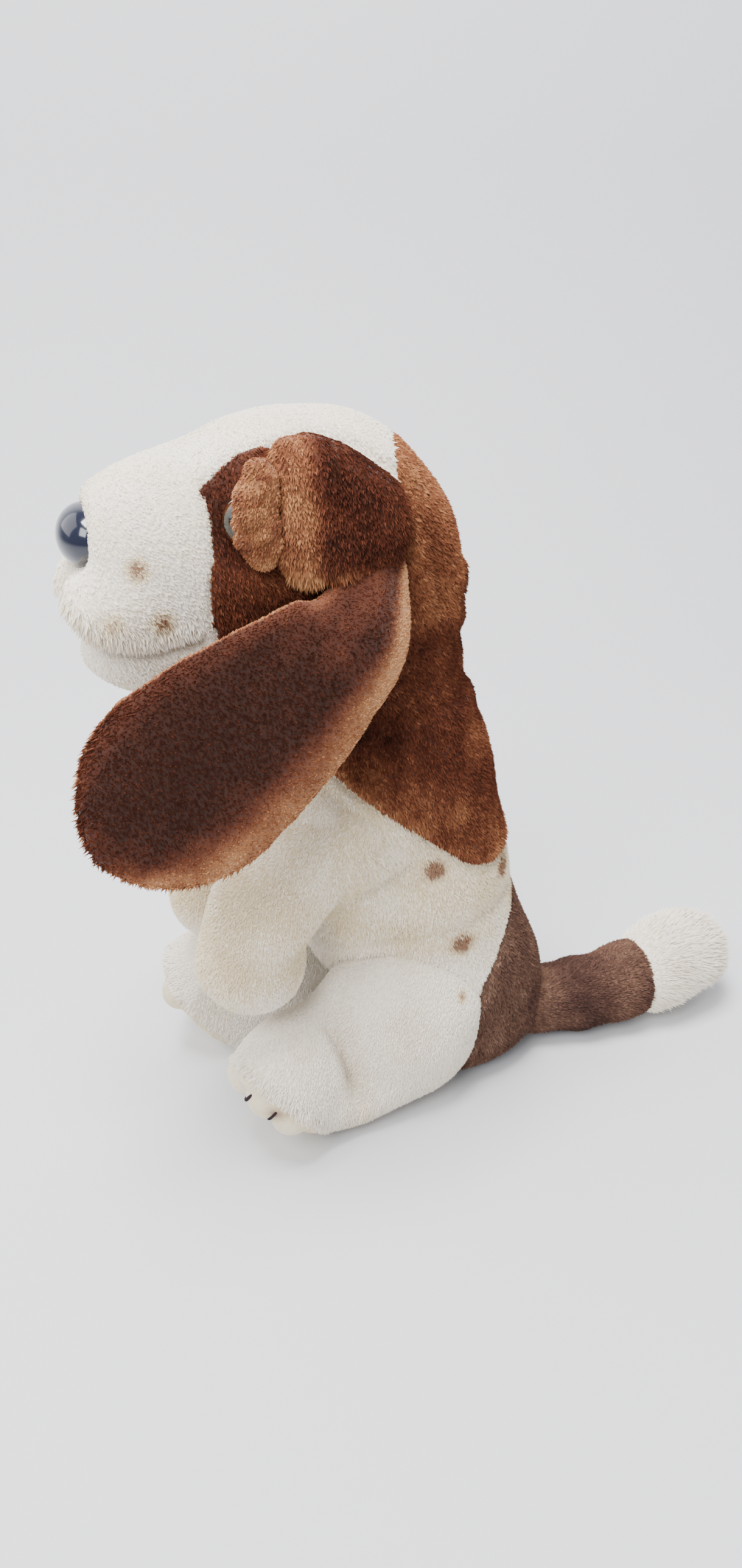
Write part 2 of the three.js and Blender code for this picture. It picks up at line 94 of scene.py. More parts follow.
def turned(angles):
    """A matrix for turns about X, then Y, then Z."""
    (a, b, c), cos, sin = angles, math.cos, math.sin
    about_x = np.array([[1, 0, 0], [0, cos(a), -sin(a)], [0, sin(a), cos(a)]])
    about_y = np.array([[cos(b), 0, sin(b)], [0, 1, 0], [-sin(b), 0, cos(b)]])
    about_z = np.array([[cos(c), -sin(c), 0], [sin(c), cos(c), 0], [0, 0, 1]])
    return about_z @ about_y @ about_x


def ball(p, centre, radii, turn=(0, 0, 0), power=2.0):
    q = np.abs((p - np.array(centre)) @ turned(turn)) / np.array(radii)
    size = (q**power).sum(1) ** (1 / power)
    slope = np.sqrt(((q / np.array(radii)) ** 2).sum(1)) / np.maximum(np.sqrt((q**2).sum(1)), 1e-6)
    return (size - 1) / np.maximum(slope, 1e-6)


def rod(p, a, b, start, end):
    """A round bar from a to b that changes radius on the way."""
    a, b = np.array(a, float), np.array(b, float)
    t = np.clip((p - a) @ (b - a) / ((b - a) @ (b - a)), 0, 1)
    return np.linalg.norm(p - a - t[:, None] * (b - a), axis=1) - (start + (end - start) * t)


def path_curve(points, count):
    """A smooth curve through points of any width, as count rows."""
    points = np.array(points, float)
    full = np.vstack([2 * points[0] - points[1], points, 2 * points[-1] - points[-2]])
    rows = []
    for s in np.linspace(0, len(points) - 1 - 1e-9, count):
        i, t = int(s), s - int(s)
        a, b, c, d = full[i : i + 4]
        square, cube = 2 * a - 5 * b + 4 * c - d, 3 * b - a - 3 * c + d
        rows.append(0.5 * (2 * b + (c - a) * t + square * t**2 + cube * t**3))
    return np.array(rows)


def loft(p, along, across, stations, power=2.0):
    """Stacked ellipses along an axis. A station is [place, middle of the second axis, half x, half of the second]."""
    rule = path_curve(stations, 160)
    s = p[:, along]
    at = [np.interp(s, rule[:, 0], rule[:, k]) for k in (1, 2, 3)]
    u, v = np.abs(p[:, 0]) / at[1], np.abs(p[:, across] - at[0]) / at[2]
    size = (u**power + v**power) ** (1 / power)
    d = (size - 1) * np.minimum(at[1], at[2])
    past = np.maximum(rule[0, 0] - s, s - rule[-1, 0])
    return np.where(past > 0, np.hypot(np.maximum(d, 0), past), np.maximum(d, past))


def lumps(p, size, seed):
    """Gentle unevenness between -1 and 1, as stuffing gives."""
    rng = np.random.default_rng(seed)
    total = np.zeros(len(p))
    for _ in range(7):
        way = rng.normal(size=3)
        wave = p @ (way / np.linalg.norm(way)) * (2 * math.pi / size) * rng.uniform(0.7, 1.5)
        total += np.sin(wave + rng.uniform(0, 6))
    return total / 3.2


def surface(field, low, high, step):
    """Points and four-sided faces of the closed skin where a field is zero."""
    axes = [np.arange(a, b + step, step) for a, b in zip(low, high)]
    grid = np.stack(np.meshgrid(*axes, indexing="ij"), -1)
    values = field(grid.reshape(-1, 3)).reshape(grid.shape[:3])
    inside = values < 0
    cells = tuple(n - 1 for n in values.shape)
    corner = {c: values[tuple(slice(o, o + n) for o, n in zip(c, cells))] for c in product((0, 1), repeat=3)}
    count, total = np.zeros(cells), np.zeros(cells + (3,))
    for a, b in product(corner, repeat=2):
        if a < b and sum(b) - sum(a) == 1 and sum(x != y for x, y in zip(a, b)) == 1:
            crossed = (corner[a] < 0) != (corner[b] < 0)
            t = np.where(crossed, corner[a] / np.where(crossed, corner[a] - corner[b], 1), 0)
            where = np.array(a) + t[..., None] * (np.array(b) - np.array(a))
            total += where * crossed[..., None]
            count += crossed
    mixed = count > 0
    number = np.full(cells, -1)
    number[mixed] = np.arange(mixed.sum())
    points = (np.argwhere(mixed) + total[mixed] / count[mixed][:, None]) * step + np.array([a[0] for a in axes])
    faces = []
    for axis in range(3):
        order = (axis, (axis + 1) % 3, (axis + 2) % 3)
        solid, numbers = inside.transpose(order), number.transpose(order)
        here, there = solid[:-1, 1:-1, 1:-1], solid[1:, 1:-1, 1:-1]
        around = np.stack([numbers[:, :-1, :-1], numbers[:, 1:, :-1], numbers[:, 1:, 1:], numbers[:, :-1, 1:]], -1)
        faces += [around[here & ~there], around[~here & there][:, ::-1]]
    faces = np.vstack(faces)
    for _ in range(2):
        value, nudge = field(points), 0.05
        slope = np.stack([field(points + nudge * axis) - value for axis in np.eye(3)], 1) / nudge
        steepness = np.maximum((slope**2).sum(1), 0.2)
        points = points - np.clip(value / steepness, -step, step)[:, None] * slope * 0.8
    return points, faces


# ---------------------------------------------------------------- colours of the plush

# Tones of the pile, lightest first, as sRGB: the white plush, the brown, and the paler brown of the rump and tail.
LIGHT = [(248, 240, 227), (242, 231, 212), (230, 214, 182), (206, 184, 154), (146, 112, 88)]
DARK = [(188, 138, 96), (158, 107, 72), (128, 79, 54), (100, 56, 39), (78, 41, 29), (54, 28, 19)]
FADED = [(152, 124, 106), (130, 101, 85), (108, 80, 66), (88, 63, 54), (71, 50, 44), (55, 38, 35)]


def linear(colour):
    c = np.asarray(colour, float) / 255
    return np.where(c <= 0.04045, c / 12.92, ((c + 0.055) / 1.055) ** 2.4)


def tinted(given):
    """The skin's colour under the pile, from the family each point belongs to and its shade of 0 to 1 within it."""
    families = []
    for tones, level in ((LIGHT, 0.93), (DARK, 0.75), (FADED, 0.75)):
        table = linear(tones) * level
        at = np.clip(given["shade"], 0, 1) * (len(tones) - 1)
        families.append(np.stack([np.interp(at, range(len(tones)), table[:, k]) for k in range(3)], 1))
    brown = np.where((given["faded"] > 0.5)[:, None], families[2], families[1])
    return np.where((given["white"] > 0.5)[:, None], families[0], brown)


# Brown spots on both sides of the white plush: the middle of each on the left, and its radius.
SPOTS = [
    ((28, -87.6, 236.6), 2.4), ((22, -96.5, 221), 2.0), ((30, -81.6, 220), 2.4),
    ((34, 8.4, 115.3), 2.6), ((26, 41.3, 104), 2.6), ((36, 20.8, 78.7), 3.2), ((15, 52, 84), 3.0),
    ((42, 20, 56), 1.6), ((43, -59, 31), 3.0), ((52, -88, 34), 2.6),
]


def spots(p):
    q = np.abs(p * (1, 0, 0)) + p * (0, 1, 1)
    away = [np.linalg.norm((q - np.array(c)) * (0.4, 1, 1), axis=1) / r for c, r in SPOTS]
    return sum(1.1 * smooth(2.5, 0.2, d) for d in away)


# ---------------------------------------------------------------- the dog's own forms

# Stations for loft(): the head from the muzzle back, and the torso from the floor up.
HEAD = [
    [-105, 230, 13, 14], [-101, 228, 20.5, 25], [-92, 226, 26.5, 33], [-78, 227, 30, 36.5],
    [-64, 230.5, 31, 37.5], [-48, 235, 37, 38.5], [-20, 237.5, 39.5, 37.8], [-2, 233, 38.5, 36.5],
    [9, 227, 33.5, 32.5], [17.5, 221, 27, 27], [23.5, 216, 15, 16],
]
TORSO = [
    [0, 30, 20, 30], [7, 30, 28, 39], [22, 30, 34, 43], [45, 27, 36.5, 43], [70, 20.5, 37, 40.5],
    [95, 14, 37, 38], [120, 9, 37.5, 37.5], [145, 4.5, 37.5, 36], [166, 0.5, 35.3, 33.4],
    [177, -1.5, 33.3, 31], [188, -3.5, 26, 24], [198, -4, 15, 14],
]
COLLAR = [[174, -1.5, 34.4, 32], [186, -2.7, 33, 31.2], [205, -3.8, 32.5, 31], [222, -5, 33.5, 31.8]]
# Seams, as [Y, Z] along each one. STRIPE is [Y, half width] over the forehead and crown.
MOUTH = [[-120, 224], [-107, 218], [-102, 211], [-87, 208.8], [-72, 211.7], [-62, 214], [-50, 219]]
MUZZLE_EDGE_Y = -65.5
STRIPE = [
    [-70, 22], [-58, 20], [-46, 20], [-34, 24], [-24, 29], [-15, 36], [-9, 40], [-7, 39], [-6, 30],
    [-3, 19], [0, 11], [3, 0],
]
CAPE_EDGE = [
    [-60, 184], [-36, 165], [-8, 141], [10, 125], [22, 115], [33, 110.5], [44, 111], [54, 116],
    [64, 122], [90, 128],
]
RUMP_EDGE = [[100, 98], [56, 90.5], [41, 72], [31, 55], [28, 34], [24, 14], [14, -8]]
RUMP_TOP, TAIL_BAND_Y = 104, 118.5


def below_line(line, a, b):
    """How far b is below a line drawn over a."""
    line = np.array(line)
    order = np.argsort(line[:, 0])
    return np.interp(a, line[order, 0], line[order, 1]) - b


def beside_line(line, a, b):
    """How far a is beyond a line drawn up b."""
    line = np.array(line)
    order = np.argsort(line[:, 1])
    return a - np.interp(b, line[order, 1], line[order, 0])


def crown_white(p):
    """Above 0 on the white stripe over the forehead and crown, in millimetres from its edge."""
    x, y, z = p.T
    stripe = np.array(STRIPE)
    return np.where(z > 240, np.interp(y, stripe[:, 0], stripe[:, 1], right=-20) - np.abs(x), -20)


def head_white(p):
    muzzle = MUZZLE_EDGE_Y - p[:, 1] + 1.2 * np.sin(p[:, 2] * 0.16)
    return np.maximum(muzzle, crown_white(p))


def head_form(p):
    x, y, z = p.T
    d = loft(p, 1, 2, HEAD, 2.35)
    q = np.stack([np.abs(x), y, z], 1)
    d = merged(d, ball(q, (13.5, -92, 222), (14.5, 16.5, 12)), 7)
    d = carved(d, ball(q, (42, -61, 247), (10, 9, 13)), 7)
    d = merged(d, ball(p, (0, -87, 202), (20, 17.5, 10.5)), 5)
    d = carved(d, ball(p, (0, -112.5, 244.5), (24, 14, 13.5), power=3.6), 4)
    d = merged(d, loft(p, 2, 1, COLLAR), 8)
    lip = below_line(MOUTH, y, z)
    front = smooth(-66, -72, y)
    d = d + 2.8 * bump(lip, 1.8) * front
    seam = np.abs(head_white(p))
    d = d + 0.9 * bump(seam, 1.3) * smooth(205, 214, z)
    nape = smooth(-6, 4, y) * smooth(262, 240, z)
    gathers = np.sin(np.arctan2(x, y + 8) * 15 + 0.9 * np.sin(z * 0.12)) * bump(z - 222, 24)
    folds = np.sin(z * 0.42 + 1.2 * np.sin(x * 0.11) + y * 0.1) * bump(z - 203, 15)
    d = d + 1.7 * bump(ear_fold_form(q) - 1.2, 1.9) + 1.1 * bump(eyelid_form(q) - 0.8, 1.4)
    droop = bump(y - 1 + 0.25 * (z - 245), 2.6) * smooth(215, 225, z) * smooth(262, 252, z)
    return d - (0.7 * gathers + 0.8 * folds) * nape + 1.3 * droop - 0.5 * lumps(p, 34, 3)


def torso_form(p):
    x, y, z = p.T
    d = loft(p, 2, 1, TORSO, 2.1)
    q = np.stack([np.abs(x), y, z], 1)
    d = merged(d, ball(p, (0, -14, 96), (30, 22, 44)), 8)
    d = merged(d, ball(q, (21, -22, 128), (19, 24, 30), (-0.5, 0, 0)), 12)
    cape = -below_line(CAPE_EDGE, y, z)
    rump = beside_line(RUMP_EDGE, y, z)
    d = d - 1.7 * smooth(-0.6, 2.2, cape) + 1.2 * bump(cape + 1.4, 1.8)
    low = smooth(RUMP_TOP, 92, z)
    d = d + 0.9 * bump(rump, 1.4) * smooth(RUMP_TOP, 96, z) - 0.5 * smooth(0, 3, rump) * low
    side = smooth(10, 26, np.abs(x)) * low * smooth(70, 80, z)
    d = d + 1.3 * bump(z - 84 - 0.16 * y, 3.5) * side
    hang = np.sin((z + 0.55 * y) * 0.19 + 0.8 * np.sin(y * 0.12)) * bump(z - 122, 30) * smooth(-4, -16, y)
    neck_folds = np.sin(z * 0.33 + 1.4 * np.sin(y * 0.09 + x * 0.03)) * bump(z - 182, 14)
    beside = smooth(16, 30, np.abs(x))
    d = d + 1.7 * bump(z - 150 + 0.9 * (y + 30), 4.2) * bump(y + 24, 16) * beside
    d = d + 1.5 * bump(z - 113 - 0.5 * (y + 10), 4) * bump(y + 12, 14) * beside
    d = d - 1.6 * bump(z - 98, 11) * bump(y - 2, 22) * beside
    d = d - 0.9 * hang - 1.0 * neck_folds - 0.8 * lumps(p, 46, 8)
    return np.maximum(d, 0.6 - z)


def foreleg_form(p):
    d = rod(p, (25, -22, 134), (25.5, -55, 105), 16, 17.5)
    d = merged(d, rod(p, (25.5, -55, 105), (24, -60, 84), 17.5, 18.5), 8)
    d = merged(d, ball(p, (24, -59.5, 82), (18.5, 19.5, 18.5)), 5)
    x, y, z = p.T
    toes = bump(x - 18, 1.6) + bump(x - 30, 1.6)
    tip = smooth(78, 70, z) * smooth(-58, -66, y)
    elbow = np.sin((z - 0.4 * y) * 0.24 + 0.5 * np.sin(x * 0.2)) * bump(z - 112, 22)
    d = d + 1.6 * toes * tip + 0.5 * elbow - 0.4 * lumps(p, 30, 12)
    return np.maximum(d, 1.2 - x)


FOOT = np.array([32.0, -46.0, 28.5])
# Middles of the three toes, from the inner side of the foot to the outer side, along the edge of the sole.
TOES = np.array([[29.6, -65.4, 33.0], [43.2, -61.0, 32.4], [47.4, -52.6, 24.4]])
# The way the sole faces, and the way the toes' stitches start from.
DOWN, OUT = np.array([0.24, -0.76, -0.6]), np.array([0.83, -0.3, 0.47])


def above_sole(p, ahead):
    """How far a point is up and back from the plane of the sole."""
    return 39.9 - (p + (0, ahead, 0)) @ DOWN


def ankle(p, ahead):
    """How far back a point is from the crease between the foot and the thigh."""
    x, y, z = p.T
    return y + 29 + 0.8 * ahead + 0.17 * (z - 38) - 0.25 * (x - 42)


def hind_leg_form(ahead):
    """The form of a thigh and foot. ahead is how far in front of its usual place the foot is."""

    def form(p):
        x, z = p[:, 0], p[:, 2]
        thigh = ball(p, (26, -2 - 0.3 * ahead, 38), (21, 36 + 0.3 * ahead, 37.5), power=2.2)
        foot = ball(p, FOOT - (0, ahead, 0), (19.5, 28, 26.5), (-0.22, 0, 0.42), 2.3)
        heel = ball(p, (29, -24 - 0.6 * ahead, 15), (17, 27, 15.5))
        d = merged(merged(thigh, foot, 10), heel, 8)
        d = carved(d, above_sole(p, ahead), 3)
        for toe in TOES:
            d = merged(d, ball(p, toe - (0, ahead, 0), (8.3, 8, 8)), 0.9)
        within = smooth(28, 40, x) * smooth(8, 30, z) * smooth(76, 64, z)
        d = d + 5.2 * bump(ankle(p, ahead), 3.4) * within
        d = d - 0.5 * lumps(p, 32, 21)
        return np.maximum(np.maximum(d, 0.6 - z), 18.6 - x)

    return form


TAIL = [[8, 56, 18.5], [11, 76, 17], [14, 98, 17.5], [14, 121, 21], [11, 139, 24.5], [10, 145, 25.5]]


def tail_form(p):
    line = path_curve(TAIL, 22)
    radii = np.interp(np.linspace(0, 1, 22), [0, 0.3, 0.7, 0.9, 1], [13.5, 15, 17, 16.5, 13.5])
    d = np.full(len(p), 1e3)
    for a, b, start, end in zip(line, line[1:], radii, radii[1:]):
        d = np.minimum(d, rod(p, a, b, start, end))
    y, z = p[:, 1], p[:, 2]
    d = d + 0.8 * bump(y - TAIL_BAND_Y, 1.4) - 0.9 * smooth(118, 123, y)
    d = d - 0.6 * np.sin(y * 0.3 + np.sin(z * 0.2)) * bump(y - 92, 22) - 0.5 * lumps(p, 28, 5)
    return np.maximum(d, 0.6 - z)


def ear_fold_form(p):
    """The ear's root, folded over against the head, with a free hem below."""
    y, z = p[:, 1], p[:, 2]
    d = ball(p, (34, -26.5, 252), (11.5, 21.5, 24), (0.05, -0.2, 0), 3.0)
    d = carved(d, 0.85 * (270.5 - z - 0.6 * (y + 26)), 7)
    hem = 231.5 - 0.06 * (y + 30)
    d = np.maximum(d, hem - z + np.sin(y * 0.35))
    d = np.maximum(d, -46.2 - y)
    pinch = bump(y + 36 + 0.1 * (z - 250), 2.6)
    return d + 0.7 * pinch - 0.45 * lumps(p, 16, 31)


def eyelid_form(p):
    y, z = p[:, 1], p[:, 2]
    d = ball(p, (36.5, -47, 252.5), (7, 12.6, 16.5), (0, 0, 0.12), 2.3)
    d = np.maximum(d, y + 47.2)
    creases = np.sin((z - 0.9 * y) * 0.6 + 1.4 * np.sin(z * 0.33)) + np.sin((z + 1.2 * y) * 0.43 + 2)
    return d - 0.38 * creases


# ---------------------------------------------------------------- from form to piece


def thing(name, points, faces, *materials):
    """A smooth-shaded object in the scene from points in metres."""
    mesh = bpy.data.meshes.new(name)
    mesh.from_pydata(points, [], faces)
    mesh.update()
    mesh.shade_smooth()
    for material in materials:
        mesh.materials.append(material)
    piece = bpy.data.objects.new(name, mesh)
    bpy.context.scene.collection.objects.link(piece)
    return piece


def pelt(name, points, faces, given):
    """A skin as an object, from what is known at each of its points."""
    piece = thing(name, placed(points), faces, BACKING)
    attributes = piece.data.attributes
    colour = np.ones((len(points), 4))
    # The colour per point: the plush's own tones together with the painted shade and shadow given by the looks.
    colour[:, :3] = tinted(given)
    attributes.new("dye_and_shade", "FLOAT_COLOR", "POINT").data.foreach_set("color", colour.ravel())
    for key in ("white", "faded", "shade", "pile"):
        values = np.ascontiguousarray(given[key])
        attributes.new(key, "FLOAT", "POINT").data.foreach_set("value", values)
    nap = np.ascontiguousarray(given["nap"], dtype=float)
    attributes.new("nap", "FLOAT_VECTOR", "POINT").data.foreach_set("vector", nap.ravel())
    return piece


def skin(name, field, low, high, step, look, side=1, moved=(0, 0, 0)):
    """A stuffed skin, worked out on the left and mirrored for side -1. look(points) gives what its pile is like."""
    points, faces = surface(field, low, high, step)
    given = look(points)
    given["nap"] = given["nap"] * (side, 1, 1)
    if side < 0:
        faces = faces[:, ::-1]
    return pelt(name, points * (side, 1, 1) + moved, faces.tolist(), given)


def flow(points, *ways):
    """The way the pile lies: each of ways is a weight and a direction."""
    total = np.zeros_like(points)
    for weight, way in ways:
        total += np.asarray(weight).reshape(-1, 1) * np.array(way, float)
    return total / np.maximum(np.linalg.norm(total, axis=1, keepdims=True), 1e-6)


def looked(p, white, shade, pile, nap, mottle_and_sheen=0.06, seed=1, faded=0.0):
    """What is known at each point: the shade given is of the brown; the white is creamier low down, partly its own
    warmer tint and partly painted shade, with painted shadow on the forelegs, and spotted.
    """
    # The mottle is partly the plush's own uneven tone and partly painted sheen of the nap.
    brown = shade + mottle_and_sheen * lumps(p, 17, seed) + 0.6 * mottle_and_sheen * lumps(p, 6.5, seed + 40)
    # Creamier and darker on the body below the head: partly the plush's own warmer tint, partly painted shade from
    # the light above.
    cream_and_shade = 0.1 + 0.28 * smooth(200, 150, p[:, 2]) * smooth(60, 90, p[:, 2]) + 0.12 * lumps(p, 30, seed + 7)
    # Painted shadow of the head and ears on the forelegs, darker and yellower there.
    cream_and_shade = cream_and_shade + 0.1 * smooth(-30, -50, p[:, 1]) * smooth(125, 105, p[:, 2]) * smooth(58, 66, p[:, 2])
    cream_and_shade = np.clip(cream_and_shade, 0, 0.5) + 0.85 * spots(p)
    shade = np.clip(np.where(white > 0.5, cream_and_shade, brown), 0, 1)
    return {"white": white, "faded": faded * np.ones(len(p)), "shade": shade, "pile": pile, "nap": nap}


def head_look(p):
    y, z = p[:, 1], p[:, 2]
    white = smooth(-0.4, 0.4, head_white(p))
    neck = smooth(216, 200, z)
    face = smooth(-20, -34, y)
    shade = 0.28 + 0.12 * smooth(262, 240, z) + 0.22 * neck + 0.28 * face
    # The first of these darkens the socket around the eye with painted shade.
    shade = shade + 0.28 * bump(y + 60, 9) * bump(z - 252, 22) + 0.12 * smooth(20, 30, y) * smooth(235, 215, z)
    shade = shade - 0.16 * bump(y + 56, 9) * bump(z - 232, 7)
    lip = below_line(MOUTH, y, z)
    fringe = bump(lip + 4, 4.5) * smooth(-66, -74, y)
    seam = bump(head_white(p), 1.3)
    pile = 0.8 - 0.22 * white + 0.8 * fringe - 0.35 * seam + 0.4 * bump(y + 104, 6) * bump(z - 220, 9)
    pile = pile * (1 - 0.8 * bump(lip, 1.5) * smooth(-66, -72, y))
    pile = pile * smooth(173.5, 177, z)
    back = (smooth(-60, -80, y) * 0.8, (0, 0.9, -0.2))
    nap = flow(p, (1, (0, 0.45, -0.9)), back, (fringe * 1.6, (0, -0.4, -1)))
    return looked(p, white, shade, pile, nap, 0.07, 2)


def torso_look(p):
    x, y, z = p.T
    cape = -below_line(CAPE_EDGE, y, z)
    rump = beside_line(RUMP_EDGE, y, z)
    is_rump = (rump > 0) & (z < RUMP_TOP)
    white = ((cape < 0) & ~is_rump).astype(float)
    on_cape = 0.56 + 0.12 * bump(z - 175, 14) - 0.2 * bump(cape - 2, 4)
    shade = np.where(is_rump, 0.42 + 0.12 * bump(y - 70, 20), on_cape)
    shade = shade + 0.1 * np.sin((z + 0.6 * y) * 0.16 + np.sin(x * 0.08)) * (cape > 0)
    edge = bump(cape, 1.4) + bump(rump, 1.4) * (z < RUMP_TOP)
    pile = 0.8 - 0.35 * np.clip(edge, 0, 1) + 0.3 * bump(cape - 2, 2.5)
    pile = pile * smooth(184, 179, z) * smooth(1.5, 4, z)
    nap = flow(p, (1, (0, 0.25, -1)))
    return looked(p, white, shade, pile, nap, 0.09, 4, is_rump.astype(float))


def white_look(p):
    pile = 0.62 * smooth(1.2, 4, p[:, 2])
    return looked(p, np.ones(len(p)), np.full(len(p), 0.5), pile, flow(p, (1, (0, -0.35, -1))), 0.05, 6)


def hind_leg_look(ahead):
    def look(p):
        given = white_look(p)
        above, front = above_sole(p, ahead), smooth(-34 - ahead, -44 - ahead, p[:, 1])
        sole = smooth(4.4, 3.0, above)
        ruff = bump(above - 6.4, 2.4) * front
        # Painted shade along the crease between the foot and the thigh, with the rest of the leg a little lighter.
        crease_shade = 0.16 * bump(ankle(p, ahead), 7) * smooth(26, 40, p[:, 0]) * smooth(76, 60, p[:, 2]) - 0.08
        given["shade"] = np.clip(given["shade"] + 0.5 * sole + crease_shade, 0, 1)
        given["pile"] = given["pile"] * (1 - 0.92 * sole) + 0.9 * ruff
        given["nap"] = flow(p, (1, (0.2, -0.5, -0.7)), (ruff, (0.5, -0.7, -0.6)))
        return given

    return look


def tail_look(p):
    y, z = p[:, 1], p[:, 2]
    white = (y > TAIL_BAND_Y).astype(float)
    tip = smooth(119, 129, y)
    shade = 0.62 + 0.14 * np.sin(y * 0.16)
    pile = 0.85 + 1.3 * tip + 1.2 * smooth(144, 158, y) - 0.3 * bump(y - TAIL_BAND_Y, 1.4)
    pile = pile * smooth(1.2, 4, z)
    return looked(p, white, shade, pile, flow(p, (1, (0, 1, -0.25))), 0.08, 9, 1.0)


def fold_look(p):
    y, z = p[:, 1], p[:, 2]
    shade = 0.34 + 0.5 * smooth(-39, -31, y) - 0.12 * smooth(-22, -10, y) - 0.4 * bump(z - 232.5, 3.5)
    pile = 0.8 + 0.8 * bump(z - 232, 3)
    return looked(p, np.zeros(len(p)), shade, pile, flow(p, (1, (0.1, 0.1, -1))), 0.09, 13)


def eyelid_look(p):
    shade = 0.27 + 0.12 * lumps(p, 7, 44)
    return looked(p, np.zeros(len(p)), shade, np.full(len(p), 0.6), flow(p, (1, (0, -0.4, -1))), 0.1, 15)


# ---------------------------------------------------------------- ears

EAR = [
    [38, -11, 238], [51, -25, 217.5], [54.5, -38.4, 207.6], [56.5, -55, 196.2], [58, -71.7, 185.5],
    [58.5, -87.8, 174.4], [58, -101.5, 165], [57, -112, 158],
]
EAR_HALF = [4.5, 13.7, 21, 26.5, 30.5, 32, 31, 29]
EAR_THICK, EAR_TILT = 5.0, 0.13


def ear(name, side, hang=0.0):
    """A long flap, thicker in the middle than at its rolled edge, cupped a little and hanging in soft waves."""
    rows, around = 74, 72
    line = path_curve(EAR, 400)
    line = line[0] + (line - line[0]) @ turned((hang, 0, 0)).T
    gone = np.concatenate([[0], np.cumsum(np.linalg.norm(np.diff(line, axis=0), axis=1))])
    steps = np.sin(np.linspace(0, 1, rows) * math.pi / 2) ** 1.3
    at = np.stack([np.interp(steps * gone[-1], gone, line[:, k]) for k in range(3)], 1)
    half = np.interp(steps, np.linspace(0, 1, len(EAR_HALF)), EAR_HALF)
    along = np.gradient(at, axis=0)
    along /= np.linalg.norm(along, axis=1, keepdims=True)
    out = np.array([1.0, 0, 0]) - along * along[:, :1]
    out /= np.linalg.norm(out, axis=1, keepdims=True)
    across = np.cross(along, out)
    tip = np.sqrt(np.clip(1 - (np.clip((steps - 0.7) / 0.3, 0, 1)) ** 2.2, 0, 1))
    start = np.sqrt(np.clip(1 - (1 - np.clip(steps / 0.03, 0, 1)) ** 2, 0, 1))
    points, where = [], []
    turn = np.linspace(0, 2 * math.pi, around, endpoint=False)
    s, t = np.cos(turn), np.sin(turn)
    for i in range(1, rows - 1):
        wide = s * half[i] * tip[i] * start[i]
        thick = np.sign(t) * np.abs(t) ** 0.75 * EAR_THICK * start[i] * (0.75 + 0.25 * tip[i])
        wave = 1.3 * np.sin(steps[i] * 11 + s * 1.6) * steps[i] + 0.8 * np.sin(s * 4 + steps[i] * 7)
        cup = -0.0042 * wide**2 * np.where(wide > 0, 1, 0.25)
        deep = thick + wave + cup - EAR_TILT * wide
        points.append(at[i] + wide[:, None] * across[i] + deep[:, None] * out[i])
        where.append(np.stack([np.full(around, steps[i]), s * tip[i], t], 1))
    points = [at[:1]] + points + [at[-1:]]
    where = [np.array([[0, 0, 0.0]])] + where + [np.array([[1, 0, 0.0]])]
    points, where = np.vstack(points), np.vstack(where)
    last = len(points) - 1
    faces = [(0, 1 + (k + 1) % around, 1 + k) for k in range(around)]
    for i in range(rows - 3):
        a, b = 1 + i * around, 1 + (i + 1) * around
        faces += [(a + k, a + (k + 1) % around, b + (k + 1) % around, b + k) for k in range(around)]
    a = 1 + (rows - 3) * around
    faces += [(a + k, a + (k + 1) % around, last) for k in range(around)]
    tipness = smooth(0.86, 1.0, where[:, 0])
    over = where[:, 1] / np.maximum(np.interp(where[:, 0], steps, tip), 0.15)
    edge = np.maximum(np.maximum(smooth(0.72, 0.95, over), smooth(0.15, 0.88, -over)), tipness)
    outer = where[:, 2] > 0
    low_edge = smooth(-0.1, 0.6, -where[:, 1])
    shade = 0.74 + 0.3 * smooth(0.12, 0.5, where[:, 0]) - edge * (0.26 + 0.6 * low_edge)
    shade = np.where(outer, shade, 0.4 - 0.2 * edge)
    white = np.zeros(len(points))
    pile = 0.8 + 0.55 * edge
    copies = [1] + [around] * (rows - 2) + [1]
    tangent, spread = np.repeat(along, copies, axis=0), np.repeat(across, copies, axis=0)
    nap = tangent + spread * (where[:, 1] * 0.8 * edge)[:, None] + np.array([0, 0, -0.35])
    nap = nap / np.linalg.norm(nap, axis=1, keepdims=True)
    given = looked(points, white, shade, pile, nap * (side, 1, 1), 0.07, 17)
    if side < 0:
        faces = [f[::-1] for f in faces]
    return pelt(name, points * (side, 1, 1), faces, given)


# ---------------------------------------------------------------- materials


class Knob:
    """A node's output that can be worked with like a number."""

    def __init__(self, tree, socket):
        self.tree, self.socket = tree, socket

    def maths(self, operation, other):
        return add_node(self.tree, "ShaderNodeMath", 0, {"operation": operation}, i0=self, i1=other)

    def __add__(self, other):
        return self.maths("ADD", other)

    def __mul__(self, other):
        return self.maths("MULTIPLY", other)

    __radd__, __rmul__ = __add__, __mul__


def fill_socket(tree, slot, value):
    if isinstance(value, Knob):
        tree.links.new(value.socket, slot)
    elif hasattr(value, "is_output"):
        tree.links.new(value, slot)
    else:
        slot.default_value = value


def add_node(tree, kind, out=0, settings=None, **sockets):
    """A node, with its sockets filled by name or, as i0, i1 and so on, by number."""
    made = tree.nodes.new(kind)
    for key, value in (settings or {}).items():
        setattr(made, key, value)
    for key, value in sockets.items():
        numbered = key[0] == "i" and key[1:].isdigit()
        fill_socket(tree, made.inputs[int(key[1:]) if numbered else key.replace("_", " ")], value)
    return Knob(tree, made.outputs[out])


